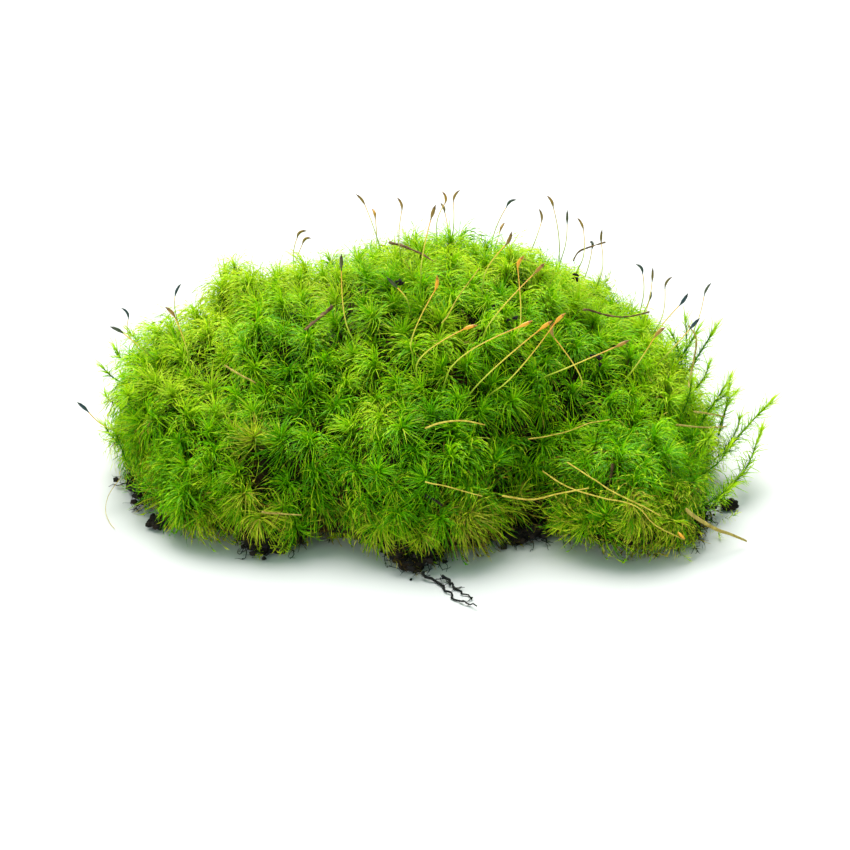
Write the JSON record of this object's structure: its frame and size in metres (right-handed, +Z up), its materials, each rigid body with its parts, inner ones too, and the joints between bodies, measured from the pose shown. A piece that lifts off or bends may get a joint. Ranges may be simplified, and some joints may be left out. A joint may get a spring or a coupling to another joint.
{
  "type": "moss clump",
  "caption": "Lifted cushion of long-leaved woodland moss with spore stalks, on a thin humus mat with roots and forest litter, resting flat",
  "frame": {"origin": "on the flat underside of the humus mat, under the middle of the clump", "axes": "+Z up out of the moss, +X along the clump's longest side to the right of its best side, which faces -Y"},
  "size_m": [0.1703, 0.1334, 0.0704],
  "materials": {
    "moss_green": "fine translucent leaves, deep green to lime",
    "humus_brown": "crumbly dark humus with matted rhizoids",
    "stalk_ochre": "smooth ochre stalk with an orange-brown capsule",
    "litter_tan": "weathered dead twig, needle and grass"
  },
  "bodies": {
    "root": {"bark_chip": "litter_tan", "dead_blade": "litter_tan", "dead_stalk": "litter_tan", "grass_blade": "litter_tan", "humus_mat": "humus_brown", "leafy_sprig_1": "moss_green", "leafy_sprig_2": "moss_green", "leafy_sprig_3": "moss_green", "leafy_sprig_4": "moss_green", "leafy_sprig_5": "moss_green", "leafy_sprig_6": "moss_green", "moss_cushion": "moss_green", "pine_needle_long": "litter_tan", "pine_needle_short": "litter_tan", "root_fork": "humus_brown", "root_main": "humus_brown", "soil_crumb_1": "humus_brown", "soil_crumb_2": "humus_brown", "sporophyte_01": "stalk_ochre", "sporophyte_02": "stalk_ochre", "sporophyte_03": "stalk_ochre", "sporophyte_04": "stalk_ochre", "sporophyte_05": "stalk_ochre", "sporophyte_06": "stalk_ochre", "sporophyte_07": "stalk_ochre", "sporophyte_08": "stalk_ochre", "sporophyte_09": "stalk_ochre", "sporophyte_10": "stalk_ochre", "sporophyte_11": "stalk_ochre", "sporophyte_12": "stalk_ochre", "sporophyte_13": "stalk_ochre", "sporophyte_14": "stalk_ochre", "sporophyte_15": "stalk_ochre", "sporophyte_16": "stalk_ochre", "sporophyte_17": "stalk_ochre", "sporophyte_18": "stalk_ochre", "sporophyte_19": "stalk_ochre", "sporophyte_20": "stalk_ochre", "sporophyte_21": "stalk_ochre", "sporophyte_22": "stalk_ochre", "sporophyte_23": "stalk_ochre", "sporophyte_24": "stalk_ochre", "sporophyte_25": "stalk_ochre", "sporophyte_26": "stalk_ochre", "sporophyte_27": "stalk_ochre", "sporophyte_28": "stalk_ochre", "sporophyte_29": "stalk_ochre", "sporophyte_30": "stalk_ochre", "sporophyte_31": "stalk_ochre", "sporophyte_32": "stalk_ochre", "stalk_crossing": "litter_tan", "stalk_long": "litter_tan", "stalk_low": "litter_tan", "stalk_middle": "litter_tan", "stalk_upright": "litter_tan", "twig_back": "litter_tan", "twig_pale": "litter_tan", "twig_right": "litter_tan", "twig_top": "litter_tan"}
  },
  "joints": []
}
